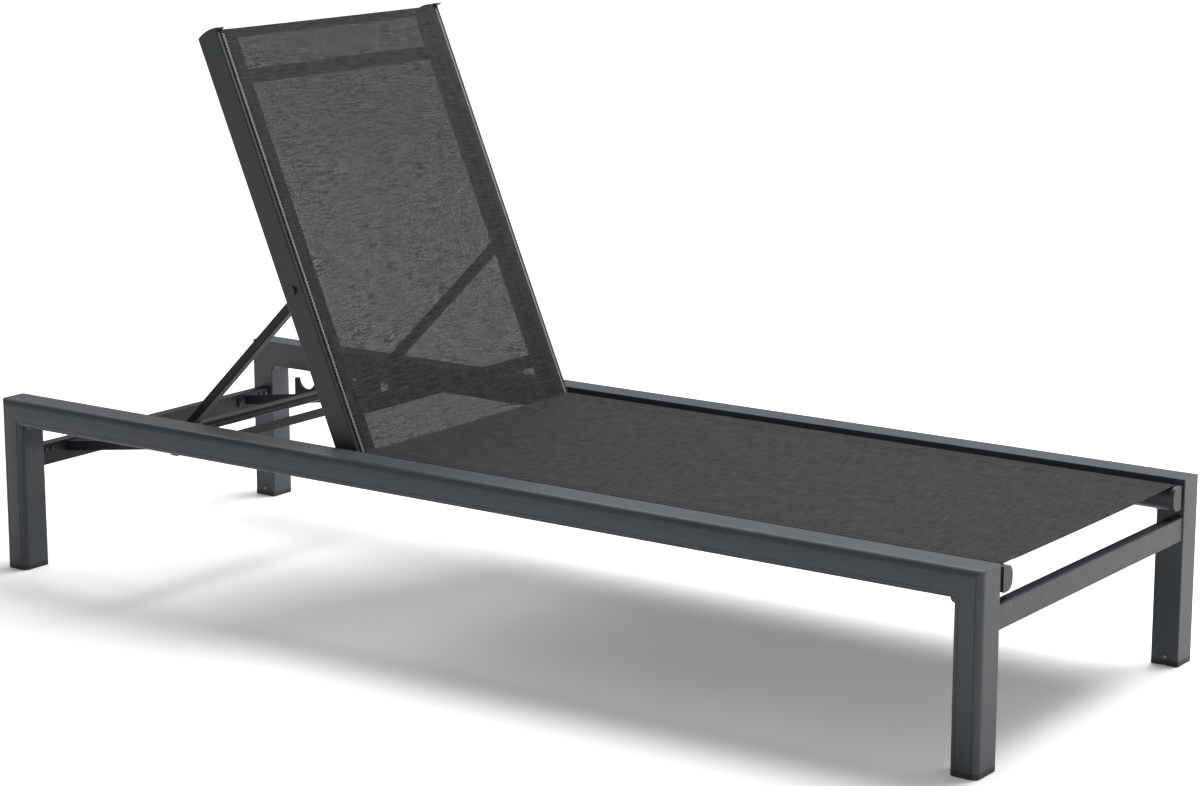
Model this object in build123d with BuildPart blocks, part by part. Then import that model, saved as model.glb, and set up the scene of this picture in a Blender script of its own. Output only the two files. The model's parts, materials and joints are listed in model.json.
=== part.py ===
"""Reclining sun lounger: welded aluminium frame, textile slings and a notched backrest prop.

Millimetres.  +X points to the foot end, +Y to the user's left, +Z up.  The origin is on the
ground, midway along and across the frame.  The backrest stands in its most upright position.
"""
from build123d import *
from math import cos, hypot, radians, sin, sqrt
import os

os.makedirs("parts", exist_ok=True)

# ---------------------------------------------------------------- driving dimensions
frame_length = 2000.0        # over the two end faces of the side frames
frame_width = 734.0          # over the crowned outer faces
frame_height = 315.0         # ground to the flat top of the side rails

side_width = 57.0            # side-frame extrusion, across the lounger
side_depth = 48.0            # the same extrusion, rail height and leg width
side_crown = 2.0             # rise of the outer face
side_corner = 10.0           # outer corner radius
side_edge = 1.5              # inner corner radius
side_groove = 1.4            # shadow groove where each outer corner meets the crowned face
groove_depth = 0.8
wall = 2.0                   # wall of every extrusion
weld_fillet = 8.0            # fillet under the mitred corner

cap_flange = 10.0            # height of a leg cap below the metal
cap_groove = 3.0             # width and depth of the grooves under a cap
cap_plug = 20.0              # plug inside the leg
fit_gap = 0.2                # clearance of a plastic plug in its tube

bar_width = 20.0             # end crossbars, along the lounger
bar_height = 40.0
bar_corner = 2.0
foot_bar_top = 253.0         # height of the top face of the foot crossbar
foot_bar_setback = 2.0       # foot crossbar behind the end face of the legs
head_bar_top = 223.5
head_bar_setback = 20.0      # head crossbar from the head end
drain_radius = 4.5
drain_inset = 32.0           # drain hole from the end of the foot crossbar

rail_gap = 11.0              # between a side rail and the sling rail inside it
sling_rail_width = 28.0
seat_rail_height = 40.0
back_rail_depth = 46.0
rail_corner = 16.0           # rounding of a sling rail's inner side
rail_edge = 3.0              # rounding of its outer side
keder_radius = 2.8           # rod sewn into the sling's edge
keder_inset = 8.0            # track axis from the rail's outer side
track_gap = 0.3              # clearance round the keder rod
track_mouth = 2.6            # slot that the fabric leaves by
track_wall = 1.8
track_sink = 0.4             # wall of the track sunk into the wall of the rail
keder_depth = keder_radius + track_gap + track_wall + wall - track_sink

hinge_x = -233.6             # backrest hinge axis
hinge_z = 287.5
upright_angle = 66.8         # backrest above the horizontal at rest
back_length = 763.0          # hinge axis to the top end of the back rails
back_tail = 12.0             # back rails below the hinge axis
seat_start_gap = 2.5         # swept corner of the back rails to the seat rails
end_flange = 3.0             # flange of a rail end cap
end_plug = 16.0              # its plug
cap_dome = 6.0               # height of a top cap above the metal
cap_lip = 9.0                # overhang of a top cap's tongue, over the end of the keder track
cap_tongue = 12.0            # width of the tongue, from the rail's outer side

sling_thickness = 2.0
sling_lift = 0.3             # sling above the rails it lies on
sling_edge = 4.0             # sling edge inside the rails' outer sides
seat_sling_inset = 4.0       # sling end inside the seat rails' foot end
seat_sling_overhang = 12.0   # sling beyond the seat rails, towards the backrest
back_sling_start = 13.0      # lower edge of the back sling from the hinge axis

spreader_radius = 12.5       # round crossbars between sling rails
upper_bar_at = 683.0         # along the backrest from the hinge axis
lower_bar_at = 87.0
seat_bar_positions = (-165.0, 430.0)
weld_gap = 0.1               # coped tube end to the tube it is welded to

prop_pivot_at = 307.5        # prop pivot along the backrest from the hinge axis
prop_length = 410.4          # pivot to rod axis
prop_angle = 44.4            # arms below the horizontal at rest
flat_prop_angle = 8.0        # the same with the backrest flat
arm_depth = 16.0
arm_width = 20.0
arm_clearance = 1.5          # washer between arm and back rail
rod_radius = 10.0

notch_clearance = 5.0        # notch plate to the prop arm beside it
notch_thickness = 5.0
notch_bar_height = 18.0
notch_slope = 8.3            # degrees, rising to the foot end
notch_count = 4
notch_pitch = 50.5
notch_seat = 9.0             # bottom of a notch above the bar
notch_radius = 20.0
prong_height = 27.0          # highest prong above the notch bottom
rod_clearance = 0.3
tie_width = 16.0             # flat tube that carries the notch plates below the side rails
tie_height = 13.0
tie_x = -632.0
tie_z = 254.3

pin_radius = 5.0             # hinge pin
bolt_radius = 4.0            # prop pivots and seat rail bolts
running = 0.05               # radial clearance of a running fit
bush_wall = 2.0              # plastic bush between hinge pin and back rail
spacer_wall = 4.0            # spacer tubes between side rail and sling rail
side_play = 0.4              # sideways play of the backrest on its pins
bolt_head_radius = 7.5
bolt_head_height = 4.0
nut_radius = 7.5
nut_height = 8.0
rivet_radius = 3.5           # heads of the blind bolts on the head crossbar

# ---------------------------------------------------------------- places worked out from them
half_length = frame_length / 2
inner_face = frame_width / 2 - side_width
rail_axis_z = frame_height - side_depth / 2
sling_outer = inner_face - rail_gap
sling_inner = sling_outer - sling_rail_width
arm_outer = sling_inner - arm_clearance
arm_inner = arm_outer - arm_width
notch_y = arm_inner - notch_clearance - notch_thickness / 2
back_sweep = hypot(back_rail_depth / 2, back_tail + end_flange)
seat_start = hinge_x + back_sweep + seat_start_gap + end_flange
seat_end = half_length - 4.0
seat_face_z = hinge_z + seat_rail_height / 2
back_face = back_rail_depth / 2
spacer_positions = (seat_bar_positions[0] + 65.0, seat_bar_positions[1] - 80.0, seat_end - 50.0)

back_dir = Vector(-cos(radians(upright_angle)), 0, sin(radians(upright_angle)))
front_dir = Vector(sin(radians(upright_angle)), 0, cos(radians(upright_angle)))
hinge = Vector(hinge_x, 0, hinge_z)
pivot = hinge + back_dir * prop_pivot_at
arm_dir = Vector(-cos(radians(prop_angle)), 0, -sin(radians(prop_angle)))
rod_axis = pivot + arm_dir * prop_length


def section_across(x, y, z):
    """Plane for a section that is extruded along +X; local x points away from the centre."""
    return Plane(origin=(x, y, z), x_dir=(0, -1, 0), z_dir=(1, 0, 0))


def section_up(x, y, z):
    """Plane for a section that is extruded along +Z; local x points away from the centre."""
    return Plane(origin=(x, y, z), x_dir=(0, -1, 0), z_dir=(0, 0, 1))


def section_sideways(x, z, y=0.0):
    """Plane in X and Z at a given Y, seen from the user's right; its normal is -Y."""
    return Plane(origin=(x, y, z), x_dir=(1, 0, 0), z_dir=(0, -1, 0))


def save(part, name):
    part.label = name
    export_step(part, f"parts/{name}.step")


def save_pair(right, name):
    """Write a right-hand piece and its mirror image."""
    with BuildPart() as left:
        mirror(right, about=Plane.XZ)
    save(left.part, f"{name}_left")
    save(right, f"{name}_right")


# ---------------------------------------------------------------- side frames
def side_outline(plane, inset=0.0, grooved=True):
    """Outline of the side extrusion: flat inner side on local x = 0, crowned outer side."""
    shoulder = side_width - side_crown
    half = side_depth / 2
    with BuildSketch(plane) as outline:
        with BuildLine():
            Polyline((shoulder, -half), (0, -half), (0, half), (shoulder, half))
            ThreePointArc((shoulder, half), (side_width, 0), (shoulder, -half))
        make_face()
        fillet(outline.vertices().sort_by(Axis.X)[-2:], side_corner)
        fillet(outline.vertices().sort_by(Axis.X)[:2], side_edge)
        if inset:
            offset(amount=-inset, mode=Mode.REPLACE)
        elif grooved:
            groove_y = half - side_corner
            groove_x = side_width - side_crown * (groove_y / half) ** 2
            with Locations((groove_x, groove_y), (groove_x, -groove_y)):
                Rectangle(2 * groove_depth, side_groove, mode=Mode.SUBTRACT)
    return outline.sketch


head_mitre = Plane(origin=(-half_length, 0, frame_height), z_dir=(1, 0, 1))
foot_mitre = Plane(origin=(half_length, 0, frame_height), z_dir=(-1, 0, 1))

# Long side rail, mitred at both ends and bored through its inner wall for the hinge pin and
# the seat rail bolts.
rail_plane = section_across(-half_length, -inner_face, rail_axis_z)
with BuildPart() as side_rail:
    extrude(side_outline(rail_plane), amount=frame_length)
    extrude(side_outline(rail_plane, wall), amount=frame_length, mode=Mode.SUBTRACT)
    split(bisect_by=head_mitre, keep=Keep.TOP)
    split(bisect_by=foot_mitre, keep=Keep.TOP)
    with BuildSketch(section_sideways(0, 0, -inner_face)) as rail_bores:
        with Locations((hinge_x, hinge_z)):
            Circle(pin_radius + fit_gap)
        with Locations(*[(x, hinge_z) for x in spacer_positions]):
            Circle(bolt_radius + fit_gap)
    extrude(rail_bores.sketch, amount=wall, mode=Mode.SUBTRACT)
save_pair(side_rail.part, "side_rail")


def build_leg(x, mitre, inward):
    """Leg at x, with the weld fillet on its inward side."""
    plane = section_up(x, -inner_face, cap_flange)
    side = x + inward * side_depth / 2
    under = frame_height - side_depth
    with BuildPart() as leg:
        extrude(side_outline(plane), amount=frame_height - cap_flange)
        extrude(side_outline(plane, wall), amount=frame_height - cap_flange, mode=Mode.SUBTRACT)
        split(bisect_by=mitre, keep=Keep.BOTTOM)
        with BuildSketch(section_sideways(0, 0, -inner_face - side_edge)) as gusset:
            with BuildLine():
                Polyline((side, under - weld_fillet), (side, under), (side + inward * weld_fillet, under))
                RadiusArc(
                    (side + inward * weld_fillet, under), (side, under - weld_fillet),
                    weld_fillet * inward,
                )
            make_face()
        extrude(amount=side_width - side_corner - side_edge)
    return leg.part


def build_leg_cap(x):
    """Plastic leg cap: flange under the tube, grooved into four pads, and a plug inside it."""
    with BuildPart() as cap:
        extrude(side_outline(section_up(x, -inner_face, 0), grooved=False), amount=cap_flange)
        plug_plane = section_up(x, -inner_face, cap_flange)
        extrude(side_outline(plug_plane, wall + fit_gap), amount=cap_plug)
        chamfer(cap.edges().group_by(Axis.Z)[0], 1.0)
        middle = -inner_face - side_width / 2
        with BuildSketch(Plane.XY) as grooves:
            with Locations((x, middle)):
                Rectangle(cap_groove, side_width * 2)
                Rectangle(side_depth * 2, cap_groove)
        extrude(amount=cap_groove, mode=Mode.SUBTRACT)
    return cap.part


leg_places = {"head": (-half_length + side_depth / 2, head_mitre, 1),
              "foot": (half_length - side_depth / 2, foot_mitre, -1)}
for end, (x, mitre, inward) in leg_places.items():
    save_pair(build_leg(x, mitre, inward), f"leg_{end}")
    save_pair(build_leg_cap(x), f"leg_cap_{end}")

# Dome-headed screws that hold the caps, one on the inner face of each leg.
cap_screw_z = cap_flange + 5.0
cap_screw_radius = 3.2
with BuildPart() as cap_screws:
    for x, _, _ in leg_places.values():
        for side in (-1, 1):
            with BuildSketch(section_sideways(x, cap_screw_z, side * inner_face)):
                Circle(cap_screw_radius)
            extrude(amount=side * 1.8)
    chamfer(cap_screws.edges().filter_by(lambda edge: abs(edge.center().Y) < inner_face - 1), 1.0)
save(cap_screws.part, "leg_cap_screws")


# ---------------------------------------------------------------- end crossbars
def build_end_bar(x, top, drained):
    """Rectangular tube between the inner faces of two legs."""
    with BuildPart() as bar:
        with BuildSketch(section_sideways(x, top - bar_height / 2, inner_face)):
            RectangleRounded(bar_width, bar_height, bar_corner)
            RectangleRounded(bar_width - 2 * wall, bar_height - 2 * wall, bar_corner / 2, mode=Mode.SUBTRACT)
        extrude(amount=2 * inner_face)
        if drained:
            with BuildSketch(Plane.XY.offset(top - bar_height)):
                with Locations(*[(x, side * (inner_face - drain_inset)) for side in (-1, 1)]):
                    Circle(drain_radius)
            extrude(amount=bar_height, mode=Mode.SUBTRACT)
    return bar.part


foot_bar_x = half_length - foot_bar_setback - bar_width / 2
head_bar_x = -half_length + head_bar_setback + bar_width / 2
save(build_end_bar(foot_bar_x, foot_bar_top, True), "foot_crossbar")
save(build_end_bar(head_bar_x, head_bar_top, False), "head_crossbar")


# ---------------------------------------------------------------- sling rails
def sling_rail_outline(plane, height, inset=0.0):
    """Sling rail outline: flat outer side on local x = 0, rounded inner side at negative x."""
    with BuildSketch(plane) as outline:
        with Locations((-sling_rail_width / 2, 0)):
            Rectangle(sling_rail_width, height)
        fillet(outline.vertices().sort_by(Axis.X)[-2:], rail_edge)
        fillet(outline.vertices().sort_by(Axis.X)[:2], rail_corner)
        if inset:
            offset(amount=-inset, mode=Mode.REPLACE)
    return outline.sketch


def sling_rail_section(plane, height, face):
    """Hollow sling rail section with its keder track; face is the sign of local y at the sling."""
    track = (-keder_inset, face * (height / 2 - keder_depth))
    with BuildSketch(plane) as section:
        with Locations((-sling_rail_width / 2, 0)):
            Rectangle(sling_rail_width, height)
        fillet(section.vertices().sort_by(Axis.X)[-2:], rail_edge)
        fillet(section.vertices().sort_by(Axis.X)[:2], rail_corner)
        offset(amount=-wall, mode=Mode.SUBTRACT)
        with Locations(track):
            Circle(keder_radius + track_gap + track_wall)
            Circle(keder_radius + track_gap, mode=Mode.SUBTRACT)
        with Locations((track[0], face * (height / 2 - keder_depth / 2))):
            Rectangle(track_mouth, keder_depth, mode=Mode.SUBTRACT)
    return section.sketch


def seat_plane(x):
    return section_across(x, -sling_outer, hinge_z)


# section_across has its local y pointing down, so the seat sling is at negative local y.
seat_rail_length = seat_end - seat_start
with BuildPart() as seat_rail:
    extrude(sling_rail_section(seat_plane(seat_start), seat_rail_height, -1), amount=seat_rail_length)
    with BuildSketch(section_sideways(0, 0, -sling_inner)) as seat_bores:
        with Locations(*[(x, hinge_z) for x in spacer_positions]):
            Circle(bolt_radius + fit_gap)
    extrude(seat_bores.sketch, amount=sling_rail_width, mode=Mode.SUBTRACT)
save_pair(seat_rail.part, "seat_rail")

with BuildPart() as seat_envelope:
    extrude(sling_rail_outline(seat_plane(seat_start), seat_rail_height), amount=seat_rail_length)

seat_track_z = seat_face_z - keder_depth
with BuildPart() as seat_keder:
    with BuildSketch(section_across(seat_start + seat_sling_inset, -sling_outer + keder_inset, seat_track_z)):
        Circle(keder_radius)
    extrude(amount=seat_rail_length - 2 * seat_sling_inset)
save_pair(seat_keder.part, "seat_keder")


def plug_outline(plane, height):
    """Outline of an end cap's plug: between the rail's walls and clear of its keder track."""
    with BuildSketch(plane) as outline:
        with Locations((-sling_rail_width / 2, 0)):
            Rectangle(sling_rail_width - 2 * (wall + fit_gap), height - 2 * rail_corner)
    return outline.sketch


def build_rail_cap(plane, height, reach, plug):
    """Cap for one end of a sling rail; reach is the sign of its flange along the plane's normal."""
    with BuildPart() as cap:
        extrude(sling_rail_outline(plane, height), amount=reach * end_flange)
        extrude(plug_outline(plane, height), amount=-reach * plug)
    return cap.part


save_pair(build_rail_cap(seat_plane(seat_end), seat_rail_height, 1, end_plug), "seat_rail_foot_cap")
save_pair(build_rail_cap(seat_plane(seat_start), seat_rail_height, -1, end_plug), "seat_rail_hinge_cap")


def build_spreader(plane, envelope):
    """Round tube across the lounger, coped to the two sling rails it is welded to."""
    with BuildPart() as tube:
        with BuildSketch(plane):
            Circle(spreader_radius)
            Circle(spreader_radius - wall, mode=Mode.SUBTRACT)
        extrude(amount=2 * sling_outer)
        add(envelope, mode=Mode.SUBTRACT)
        add(mirror(envelope, about=Plane.XZ, mode=Mode.PRIVATE), mode=Mode.SUBTRACT)
    return tube.part


with BuildPart() as seat_envelope:
    extrude(sling_rail_outline(seat_plane(seat_start), seat_rail_height, -weld_gap), amount=seat_rail_length)

for place, x in zip(("head", "middle"), seat_bar_positions):
    bar = build_spreader(section_sideways(x, hinge_z, sling_outer), seat_envelope.part)
    save(bar, f"seat_crossbar_{place}")

# Seat sling: the stretched textile between and over the two seat rails.
seat_sling_head = seat_start - seat_sling_overhang
seat_sling_foot = seat_end - seat_sling_inset
with BuildPart() as seat_sling:
    with BuildSketch(Plane.XY.offset(seat_face_z + sling_lift)):
        with Locations(((seat_sling_head + seat_sling_foot) / 2, 0)):
            Rectangle(seat_sling_foot - seat_sling_head, 2 * (sling_outer - sling_edge))
    extrude(amount=sling_thickness)
save(seat_sling.part, "seat_sling")

# Spacer tubes, bolts and rivet nuts that hold the seat rails to the side rails.
with BuildPart() as seat_spacers:
    for x in spacer_positions:
        for side in (-1, 1):
            with BuildSketch(section_sideways(x, hinge_z, side * sling_outer)):
                Circle(bolt_radius + spacer_wall)
                Circle(bolt_radius + fit_gap, mode=Mode.SUBTRACT)
            extrude(amount=-side * rail_gap)
save(seat_spacers.part, "seat_rail_spacers")

with BuildPart() as seat_bolts:
    for x in spacer_positions:
        for side in (-1, 1):
            with BuildSketch(section_sideways(x, hinge_z, side * sling_inner)):
                Circle(bolt_head_radius)
            extrude(amount=side * bolt_head_height)
            with BuildSketch(section_sideways(x, hinge_z, side * sling_inner)):
                Circle(bolt_radius)
            extrude(amount=-side * (sling_rail_width + rail_gap + wall + nut_height))
    heads = seat_bolts.edges().filter_by(lambda edge: abs(edge.center().Y) < sling_inner - bolt_head_height + 0.5)
    fillet(heads, 1.5)
save(seat_bolts.part, "seat_rail_bolts")

nut_places = [(x, bolt_radius) for x in spacer_positions] + [(hinge_x, pin_radius)]
with BuildPart() as rivet_nuts:
    for x, bore in nut_places:
        for side in (-1, 1):
            with BuildSketch(section_sideways(x, hinge_z, side * (inner_face + wall))):
                Circle(nut_radius)
                Circle(bore + running, mode=Mode.SUBTRACT)
            extrude(amount=-side * nut_height)
save(rivet_nuts.part, "rivet_nuts")


# ---------------------------------------------------------------- backrest
def back_plane(at):
    """Plane square to the right back rail; local x points outwards and local y to the front."""
    origin = hinge + back_dir * at + Vector(0, -sling_outer, 0)
    return Plane(origin=origin, x_dir=(0, -1, 0), z_dir=back_dir)


def back_side(y):
    """Side plane of the backrest: local x to the front, local y along the rails, normal -Y."""
    return Plane(origin=hinge + Vector(0, y, 0), x_dir=front_dir, z_dir=(0, -1, 0))


bush_radius = pin_radius + running + bush_wall
back_rail_length = back_length + back_tail
with BuildPart() as back_rail:
    extrude(sling_rail_section(back_plane(-back_tail), back_rail_depth, 1), amount=back_rail_length)
    with BuildSketch(back_side(-sling_inner)):
        Circle(bush_radius + running)
        with Locations((0, prop_pivot_at)):
            Circle(bolt_radius + fit_gap)
    extrude(amount=sling_rail_width, mode=Mode.SUBTRACT)
save_pair(back_rail.part, "back_rail")

with BuildPart() as back_envelope:
    outline = sling_rail_outline(back_plane(-back_tail), back_rail_depth, -weld_gap)
    extrude(outline, amount=back_rail_length)

for place, at in (("upper", upper_bar_at), ("lower", lower_bar_at)):
    bar_plane = Plane(origin=hinge + back_dir * at + Vector(0, sling_outer, 0), z_dir=(0, -1, 0))
    save(build_spreader(bar_plane, back_envelope.part), f"back_crossbar_{place}")

low_plug = back_tail - bush_radius - 1.5
save_pair(build_rail_cap(back_plane(-back_tail), back_rail_depth, -1, low_plug), "back_rail_hinge_cap")

# Domed top cap: the rail's own outline, with a thin tongue over the end of the keder track.
with BuildPart() as cap_dome_shape:
    with BuildSketch(back_side(-sling_inner)):
        with BuildLine():
            tip = back_face + cap_lip
            Polyline(
                (-back_face, back_length), (back_face, back_length), (tip, back_length + 0.6),
                (tip, back_length + 2.4),
            )
            ThreePointArc((tip, back_length + 2.4), (0, back_length + cap_dome), (-back_face, back_length))
        make_face()
    extrude(amount=sling_rail_width)

with BuildPart() as top_cap:
    cap_plane = back_plane(back_length)
    extrude(sling_rail_outline(cap_plane, back_rail_depth), amount=cap_dome + 1)
    with BuildSketch(cap_plane):
        with Locations((-cap_tongue / 2, tip / 2)):
            Rectangle(cap_tongue, tip)
    extrude(amount=cap_dome + 1)
    add(cap_dome_shape.part, mode=Mode.INTERSECT)
    extrude(plug_outline(cap_plane, back_rail_depth), amount=-end_plug)
save_pair(top_cap.part, "back_rail_top_cap")

with BuildPart() as back_keder:
    keder_at = hinge + back_dir * back_sling_start + front_dir * (back_face - keder_depth)
    track_y = Vector(0, -sling_outer + keder_inset, 0)
    with BuildSketch(Plane(origin=keder_at + track_y, x_dir=(0, -1, 0), z_dir=back_dir)):
        Circle(keder_radius)
    extrude(amount=back_length - 1.0 - back_sling_start)
save_pair(back_keder.part, "back_keder")

with BuildPart() as back_sling:
    with BuildSketch(back_side(sling_outer - sling_edge)):
        with Locations((back_face + sling_lift + sling_thickness / 2, (back_sling_start + back_length) / 2)):
            Rectangle(sling_thickness, back_length - back_sling_start)
    extrude(amount=2 * (sling_outer - sling_edge))
save(back_sling.part, "back_sling")

# Hinge: a headed pin screwed into the side rail, a spacer washer and a bush in the back rail.
with BuildPart() as hinge_pins:
    for side in (-1, 1):
        head_face = side * (sling_inner - side_play)
        with BuildSketch(section_sideways(hinge_x, hinge_z, head_face)):
            Circle(bolt_head_radius + 1)
        extrude(amount=side * bolt_head_height)
        with BuildSketch(section_sideways(hinge_x, hinge_z, head_face)):
            Circle(pin_radius)
        extrude(amount=-side * (inner_face + wall + nut_height - abs(head_face)))
    heads = hinge_pins.edges().filter_by(
        lambda edge: abs(edge.center().Y) < sling_inner - side_play - bolt_head_height + 0.5
    )
    fillet(heads, 1.5)
save(hinge_pins.part, "hinge_pins")

with BuildPart() as hinge_spacers:
    for side in (-1, 1):
        with BuildSketch(section_sideways(hinge_x, hinge_z, side * inner_face)):
            Circle(pin_radius + spacer_wall)
            Circle(pin_radius + running, mode=Mode.SUBTRACT)
        extrude(amount=side * (rail_gap - side_play))
save(hinge_spacers.part, "hinge_spacers")

with BuildPart() as hinge_bushes:
    for side in (-1, 1):
        with BuildSketch(section_sideways(hinge_x, hinge_z, side * sling_inner)):
            Circle(bush_radius)
            Circle(pin_radius + running, mode=Mode.SUBTRACT)
        extrude(amount=-side * sling_rail_width)
save(hinge_bushes.part, "hinge_bushes")


# ---------------------------------------------------------------- prop
def arm_plane(at, y):
    """Plane square to the right prop arm, at a distance from its pivot."""
    return Plane(origin=pivot + arm_dir * at + Vector(0, y, 0), x_dir=(0, -1, 0), z_dir=arm_dir)


arm_top = 14.0               # arm above its pivot
arm_wall = 1.5
arm_corner = 3.0
arm_middle = -(arm_outer + arm_inner) / 2
rod_plane = Plane(origin=rod_axis + Vector(0, arm_outer, 0), z_dir=(0, -1, 0))
with BuildPart() as arm:
    with BuildSketch(arm_plane(-arm_top, arm_middle)):
        RectangleRounded(arm_width, arm_depth, arm_corner)
        RectangleRounded(
            arm_width - 2 * arm_wall, arm_depth - 2 * arm_wall, arm_corner - arm_wall, mode=Mode.SUBTRACT
        )
    extrude(amount=prop_length + arm_top)
    with BuildSketch(rod_plane):
        Circle(rod_radius + weld_gap)
    extrude(amount=2 * arm_outer, mode=Mode.SUBTRACT)
    with BuildSketch(Plane(origin=pivot + Vector(0, -arm_inner, 0), z_dir=(0, -1, 0))):
        Circle(bolt_radius + running)
    extrude(amount=arm_width, mode=Mode.SUBTRACT)
save_pair(arm.part, "prop_arm")

with BuildPart() as arm_cap:
    with BuildSketch(arm_plane(-arm_top, arm_middle)):
        RectangleRounded(arm_width, arm_depth, arm_corner)
    extrude(amount=-2.0)
    with BuildSketch(arm_plane(-arm_top, arm_middle)):
        inner = arm_wall + fit_gap
        RectangleRounded(arm_width - 2 * inner, arm_depth - 2 * inner, 1.0)
    extrude(amount=arm_top - bolt_radius - 2.0)
save_pair(arm_cap.part, "prop_arm_cap")

with BuildPart() as rod:
    with BuildSketch(rod_plane):
        Circle(rod_radius)
        Circle(rod_radius - arm_wall, mode=Mode.SUBTRACT)
    extrude(amount=2 * arm_outer)
save(rod.part, "prop_rod")

rod_flange = 1.2
with BuildPart() as rod_caps:
    for side in (-1, 1):
        end_plane = Plane(origin=rod_axis + Vector(0, side * arm_outer, 0), z_dir=(0, side, 0))
        with BuildSketch(end_plane):
            Circle(rod_radius)
        extrude(amount=rod_flange)
        with BuildSketch(end_plane):
            Circle(rod_radius - arm_wall - fit_gap)
        extrude(amount=-end_plug)
save(rod_caps.part, "prop_rod_caps")

with BuildPart() as pivot_bolts:
    for side in (-1, 1):
        outer_end = Plane(origin=pivot + Vector(0, side * sling_outer, 0), z_dir=(0, side, 0))
        with BuildSketch(outer_end):
            Circle(bolt_head_radius)
        extrude(amount=bolt_head_height)
        with BuildSketch(outer_end):
            Circle(bolt_radius)
        extrude(amount=-(sling_outer - arm_inner + side_play))
        with BuildSketch(outer_end.offset(-(sling_outer - arm_inner + side_play))):
            Circle(bolt_head_radius)
        extrude(amount=-bolt_head_height)
save(pivot_bolts.part, "prop_pivot_bolts")

with BuildPart() as washers:
    for side in (-1, 1):
        with BuildSketch(Plane(origin=pivot + Vector(0, side * sling_inner, 0), z_dir=(0, side, 0))):
            Circle(bolt_head_radius)
            Circle(bolt_radius + running, mode=Mode.SUBTRACT)
        extrude(amount=-(arm_clearance - rod_clearance))
save(washers.part, "prop_washers")


# ---------------------------------------------------------------- notch plates
def rod_at(recline):
    """Rod axis (x, z) with the backrest laid back by an angle in degrees."""
    back = radians(upright_angle - recline)
    share = 1 - recline / upright_angle
    arms = radians(flat_prop_angle + (prop_angle - flat_prop_angle) * share)
    x = hinge_x - prop_pivot_at * cos(back) - prop_length * cos(arms)
    z = hinge_z + prop_pivot_at * sin(back) - prop_length * sin(arms)
    return x, z


def under_rod(x):
    """Lowest height that the travelling rod, with its clearance, reaches above x."""
    reach = rod_radius + rod_clearance
    steps = [rod_at(upright_angle * i / 200) for i in range(201)]
    return min(z - sqrt(reach ** 2 - (x - at) ** 2) for at, z in steps if abs(x - at) < reach)


rest_x = rod_axis.X
rest_z = rod_axis.Z - rod_radius - rod_clearance
rise = sin(radians(notch_slope)) / cos(radians(notch_slope))
bar_start = head_bar_x + bar_width / 2
last_notch = rest_x - (notch_count - 1) * notch_pitch
prong_width = notch_pitch - 2 * notch_radius
bar_end = rest_x + notch_radius + prong_width
foot_prong = 18.0


def seat_line(x):
    """Height of the line through the notch bottoms."""
    return rest_z + (x - rest_x) * rise


def bar_line(x):
    """Height of the upper edge of the sloping bar."""
    return seat_line(x) - notch_seat


notch_face = section_sideways(0, 0, -notch_y + notch_thickness / 2)
cut_points = [last_notch - notch_pitch + step * notch_pitch / 3 for step in range(3 * notch_count)] + [rest_x]
with BuildPart() as notch_plate:
    with BuildSketch(notch_face) as plate:
        with BuildLine():
            Polyline(
                (bar_start, bar_line(bar_start)), (bar_end, bar_line(bar_end)),
                (bar_end, bar_line(bar_end) - notch_bar_height),
                (bar_start, bar_line(bar_start) - notch_bar_height), close=True,
            )
        make_face()
        with BuildLine():
            left = last_notch - notch_radius - prong_width
            Polyline(
                (left, bar_line(left) - 2), (left, seat_line(left) + prong_height),
                (rest_x, seat_line(rest_x) + prong_height), (bar_end, rest_z + foot_prong),
                (bar_end, bar_line(bar_end) - 2), close=True,
            )
        make_face()
        with Locations(*[
            (rest_x - i * notch_pitch, seat_line(rest_x - i * notch_pitch) + notch_radius)
            for i in range(notch_count)
        ]):
            Circle(notch_radius, mode=Mode.SUBTRACT)
        with BuildLine():
            swept = Spline(*[(x, under_rod(x)) for x in cut_points])
            top = rest_z + 2 * prong_height
            Polyline(swept @ 1, (rest_x, top), (cut_points[0], top), swept @ 0)
        make_face(mode=Mode.SUBTRACT)
        with Locations((tie_x, tie_z)):
            Rectangle(tie_width + 2 * weld_gap, tie_height + 2 * weld_gap, mode=Mode.SUBTRACT)
    extrude(amount=notch_thickness)
    tab_length = 24.0
    tab_z = bar_line(bar_start) - notch_bar_height / 2
    with BuildSketch(Plane(origin=(bar_start, -notch_y, tab_z), x_dir=(0, 1, 0), z_dir=(1, 0, 0))):
        with Locations((tab_length / 2, 0)):
            Rectangle(tab_length, notch_bar_height)
    extrude(amount=4.0)
save_pair(notch_plate.part, "notch_plate")

# The tie bar runs through both plates to an angle plate screwed to each side rail.
hanger = 4.0
with BuildPart() as tie_bar:
    with BuildSketch(section_sideways(tie_x, tie_z, inner_face - hanger)):
        RectangleRounded(tie_width, tie_height, bar_corner)
        RectangleRounded(
            tie_width - 2 * arm_wall, tie_height - 2 * arm_wall, bar_corner - arm_wall + 0.2, mode=Mode.SUBTRACT
        )
    extrude(amount=2 * (inner_face - hanger))
save(tie_bar.part, "notch_tie_bar")

hanger_foot = tie_z - tie_height / 2 + 3.5
hanger_top = rail_axis_z + 8.0
hanger_screws = (tie_x - 12.0, tie_x + 12.0)
with BuildPart() as tie_hanger:
    with BuildSketch(section_sideways(tie_x, (hanger_foot + hanger_top) / 2, -inner_face + hanger)):
        RectangleRounded(40.0, hanger_top - hanger_foot, 4.0)
    extrude(amount=hanger)
save_pair(tie_hanger.part, "tie_bar_hanger")

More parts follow.
